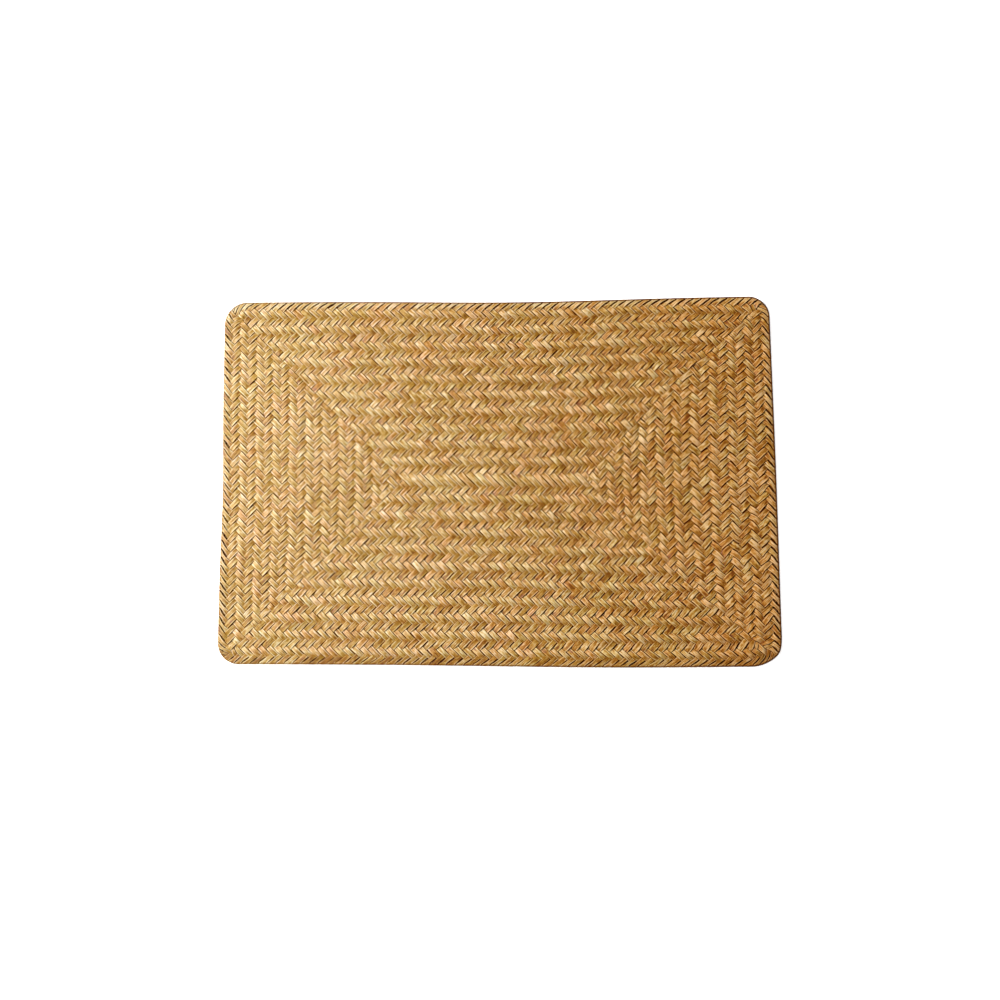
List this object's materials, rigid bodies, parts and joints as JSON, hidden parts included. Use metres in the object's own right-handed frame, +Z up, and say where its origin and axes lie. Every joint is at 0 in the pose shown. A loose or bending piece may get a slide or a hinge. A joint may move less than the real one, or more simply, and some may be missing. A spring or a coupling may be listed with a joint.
{
  "type": "seagrass placemat",
  "caption": "Flat rectangular table mat plaited from seagrass strands in closed herringbone rows, with rounded corners and a turned-back woven rim.",
  "frame": {"origin": "on the table under the middle of the mat", "axes": "+X along the long side to the right, +Y to the back long side, +Z up from the table"},
  "size_m": [0.453, 0.3002, 0.003],
  "materials": {
    "seagrass": "dry plaited seagrass, straw to golden brown, lightly glossy along its fibres"
  },
  "bodies": {
    "root": {"woven_mat": "seagrass"}
  },
  "joints": []
}
